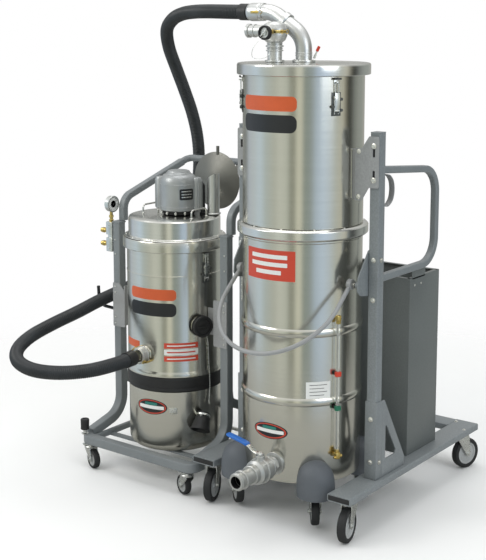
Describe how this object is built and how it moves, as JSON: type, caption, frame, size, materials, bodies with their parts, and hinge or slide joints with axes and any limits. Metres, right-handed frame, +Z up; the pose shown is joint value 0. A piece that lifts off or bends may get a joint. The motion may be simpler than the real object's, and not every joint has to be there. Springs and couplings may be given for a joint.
{
  "type": "dust collector",
  "caption": "Wet dust collector: an immersion separator drum on a forked caster cart, beside a wheeled vacuum drum, joined by a suction hose.",
  "frame": {"origin": "on the floor, under the middle of the outline of the machine without its hose", "axes": "+Z up, +X from the vacuum drum towards the separator drum, +Y towards the push handles at the rear"},
  "size_m": [1.4719, 1.3805, 1.89],
  "materials": {
    "frame": "grey enamel, satin",
    "dark_sheet": "dark grey enamel",
    "stainless": "fine brushed",
    "zinc": "bright zinc plate",
    "dome": "moulded slate grey",
    "clear": "clear tube",
    "rubber": "matt black",
    "motor": "satin",
    "brass": "machined",
    "filter": "pleated cloth",
    "tyre": "matt black"
  },
  "bodies": {
    "frame": {"sep_base_frame": "frame", "sep_post_right": "frame", "sep_post_left": "frame", "tank_bracket_right": "frame", "lever_bracket_right": "frame", "tank_bracket_left": "frame", "lever_bracket_left": "frame", "tool_bin": "dark_sheet", "upper_tank": "stainless", "seal_collar": "stainless", "tank_lid": "stainless", "outlet_elbow": "stainless", "inlet_manifold": "stainless", "immersion_tube": "stainless", "vac_frame": "frame", "vac_handle": "frame", "vac_tank": "stainless", "vac_bucket": "stainless", "seal_band": "rubber", "vac_lid": "stainless", "vac_motor": "motor", "exhaust_pipe": "stainless", "rear_dish": "stainless", "air_block": "brass", "port_cap": "rubber", "rubber_cuff": "rubber", "filter_cartridge": "filter", "corner_bumper": "rubber", "suction_hose": "rubber"},
    "lid_latch_right": {"lid_latch_right": "zinc"},
    "lid_latch_left": {"lid_latch_left": "zinc"},
    "vac_latch": {"vac_latch": "zinc"},
    "bail_lever": {"bail_lever": "zinc"},
    "lower_tank": {"lower_tank": "stainless", "tank_dolly": "dome", "level_gauge": "clear", "drain_valve_body": "stainless"},
    "drain_valve_lever": {"drain_valve_lever": "zinc"},
    "rail_front_right_fork": {"rail_front_right_fork": "zinc"},
    "rail_front_right_wheel": {"rail_front_right_wheel": "tyre"},
    "rail_front_left_fork": {"rail_front_left_fork": "zinc"},
    "rail_front_left_wheel": {"rail_front_left_wheel": "tyre"},
    "rail_rear_right_fork": {"rail_rear_right_fork": "zinc"},
    "rail_rear_right_wheel": {"rail_rear_right_wheel": "tyre"},
    "rail_rear_left_fork": {"rail_rear_left_fork": "zinc"},
    "rail_rear_left_wheel": {"rail_rear_left_wheel": "tyre"},
    "dolly_front_right_fork": {"dolly_front_right_fork": "zinc"},
    "dolly_front_right_wheel": {"dolly_front_right_wheel": "tyre"},
    "dolly_front_left_fork": {"dolly_front_left_fork": "zinc"},
    "dolly_front_left_wheel": {"dolly_front_left_wheel": "tyre"},
    "dolly_rear_right_fork": {"dolly_rear_right_fork": "zinc"},
    "dolly_rear_right_wheel": {"dolly_rear_right_wheel": "tyre"},
    "dolly_rear_left_fork": {"dolly_rear_left_fork": "zinc"},
    "dolly_rear_left_wheel": {"dolly_rear_left_wheel": "tyre"},
    "vac_front_left_fork": {"vac_front_left_fork": "zinc"},
    "vac_front_left_wheel": {"vac_front_left_wheel": "tyre"},
    "vac_front_right_fork": {"vac_front_right_fork": "zinc"},
    "vac_front_right_wheel": {"vac_front_right_wheel": "tyre"},
    "vac_rear_wheel_left": {"vac_rear_wheel_left": "tyre"},
    "vac_rear_wheel_right": {"vac_rear_wheel_right": "tyre"}
  },
  "joints": [
    {"name": "lid_latch_right_hinge", "type": "hinge", "parent": "frame", "child": "lid_latch_right", "pos_m": [0.56557, -0.2721, 1.516], "axis": [0.4226, 0.9063, 0], "range_deg": [0, 110]},
    {"name": "lid_latch_left_hinge", "type": "hinge", "parent": "frame", "child": "lid_latch_left", "pos_m": [0.18595, -0.31871, 1.516], "axis": [0.6293, -0.7771, 0], "range_deg": [0, 110]},
    {"name": "vac_latch_hinge", "type": "hinge", "parent": "frame", "child": "vac_latch", "pos_m": [-0.10162, -0.16897, 0.82], "axis": [0.1822, 0.9833, 0], "range_deg": [0, 31]},
    {"name": "bail_hinge", "type": "hinge", "parent": "frame", "child": "bail_lever", "pos_m": [0.3612, -0.2308, 0.902], "axis": [-1, 0, 0], "range_deg": [0, 90]},
    {"name": "tank_lift", "type": "slide", "parent": "frame", "child": "lower_tank", "axis": [0, 0, -1], "range_m": [0, 0.012]},
    {"name": "drain_valve_turn", "type": "hinge", "parent": "lower_tank", "child": "drain_valve_lever", "pos_m": [0.3932, -0.4788, 0.2964], "axis": [0, 0, 1], "range_deg": [0, 90]},
    {"name": "rail_front_right_swivel", "type": "hinge", "parent": "frame", "child": "rail_front_right_fork", "pos_m": [0.6677, -0.3168, 0.0625], "axis": [0, 0, 1], "continuous": true},
    {"name": "rail_front_right_spin", "type": "hinge", "parent": "rail_front_right_fork", "child": "rail_front_right_wheel", "pos_m": [0.67304, -0.34429, 0.0625], "axis": [0.9816, 0.1908, 0], "continuous": true},
    {"name": "rail_front_left_swivel", "type": "hinge", "parent": "frame", "child": "rail_front_left_fork", "pos_m": [0.0547, -0.3168, 0.0625], "axis": [0, 0, 1], "range_deg": [-28, 57]},
    {"name": "rail_front_left_spin", "type": "hinge", "parent": "rail_front_left_fork", "child": "rail_front_left_wheel", "pos_m": [0.06335, -0.34343, 0.0625], "axis": [0.9511, 0.309, 0], "continuous": true},
    {"name": "rail_rear_right_swivel", "type": "hinge", "parent": "frame", "child": "rail_rear_right_fork", "pos_m": [0.6677, 0.5312, 0.0625], "axis": [0, 0, 1], "continuous": true},
    {"name": "rail_rear_right_spin", "type": "hinge", "parent": "rail_rear_right_fork", "child": "rail_rear_right_wheel", "pos_m": [0.67728, 0.55751, 0.0625], "axis": [-0.9397, 0.342, 0], "continuous": true},
    {"name": "rail_rear_left_swivel", "type": "hinge", "parent": "frame", "child": "rail_rear_left_fork", "pos_m": [0.0547, 0.5312, 0.0625], "axis": [0, 0, 1], "continuous": true},
    {"name": "rail_rear_left_spin", "type": "hinge", "parent": "rail_rear_left_fork", "child": "rail_rear_left_wheel", "pos_m": [0.05226, 0.55909, 0.0625], "axis": [-0.9962, -0.0872, 0], "continuous": true},
    {"name": "dolly_front_right_swivel", "type": "hinge", "parent": "lower_tank", "child": "dolly_front_right_fork", "pos_m": [0.5332, -0.3338, 0.062], "axis": [0, 0, 1], "continuous": true},
    {"name": "dolly_front_right_spin", "type": "hinge", "parent": "dolly_front_right_fork", "child": "dolly_front_right_wheel", "pos_m": [0.51596, -0.31174, 0.062], "axis": [-0.788, -0.6157, 0], "continuous": true},
    {"name": "dolly_front_left_swivel", "type": "hinge", "parent": "lower_tank", "child": "dolly_front_left_fork", "pos_m": [0.1892, -0.3338, 0.062], "axis": [0, 0, 1], "continuous": true},
    {"name": "dolly_front_left_spin", "type": "hinge", "parent": "dolly_front_left_fork", "child": "dolly_front_left_wheel", "pos_m": [0.16775, -0.3158, 0.062], "axis": [-0.6428, -0.766, 0], "continuous": true},
    {"name": "dolly_rear_right_swivel", "type": "hinge", "parent": "lower_tank", "child": "dolly_rear_right_fork", "pos_m": [0.5332, -0.0198, 0.062], "axis": [0, 0, 1], "continuous": true},
    {"name": "dolly_rear_right_spin", "type": "hinge", "parent": "dolly_rear_right_fork", "child": "dolly_rear_right_wheel", "pos_m": [0.52834, 0.00777, 0.062], "axis": [-0.9848, -0.1736, 0], "continuous": true},
    {"name": "dolly_rear_left_swivel", "type": "hinge", "parent": "lower_tank", "child": "dolly_rear_left_fork", "pos_m": [0.1892, -0.0198, 0.062], "axis": [0, 0, 1], "continuous": true},
    {"name": "dolly_rear_left_spin", "type": "hinge", "parent": "dolly_rear_left_fork", "child": "dolly_rear_left_wheel", "pos_m": [0.19645, 0.00725, 0.062], "axis": [-0.9659, 0.2588, 0], "continuous": true},
    {"name": "vac_front_left_swivel", "type": "hinge", "parent": "frame", "child": "vac_front_left_fork", "pos_m": [-0.5588, -0.3688, 0.039], "axis": [0, 0, 1], "continuous": true},
    {"name": "vac_front_left_spin", "type": "hinge", "parent": "vac_front_left_fork", "child": "vac_front_left_wheel", "pos_m": [-0.53625, -0.37701, 0.039], "axis": [0.342, 0.9397, 0], "continuous": true},
    {"name": "vac_front_right_swivel", "type": "hinge", "parent": "frame", "child": "vac_front_right_fork", "pos_m": [-0.0408, -0.3688, 0.039], "axis": [0, 0, 1], "continuous": true},
    {"name": "vac_front_right_spin", "type": "hinge", "parent": "vac_front_right_fork", "child": "vac_front_right_wheel", "pos_m": [-0.06335, -0.36059, 0.039], "axis": [-0.342, -0.9397, 0], "continuous": true},
    {"name": "vac_rear_wheel_left_spin", "type": "hinge", "parent": "frame", "child": "vac_rear_wheel_left", "pos_m": [-0.5328, 0.1232, 0.1], "axis": [1, 0, 0], "continuous": true},
    {"name": "vac_rear_wheel_right_spin", "type": "hinge", "parent": "frame", "child": "vac_rear_wheel_right", "pos_m": [-0.0608, 0.1232, 0.1], "axis": [1, 0, 0], "continuous": true}
  ],
  "couplings": [
    {"joint": "tank_lift", "follows": "bail_hinge", "m_per_rad": 0.0076}
  ]
}
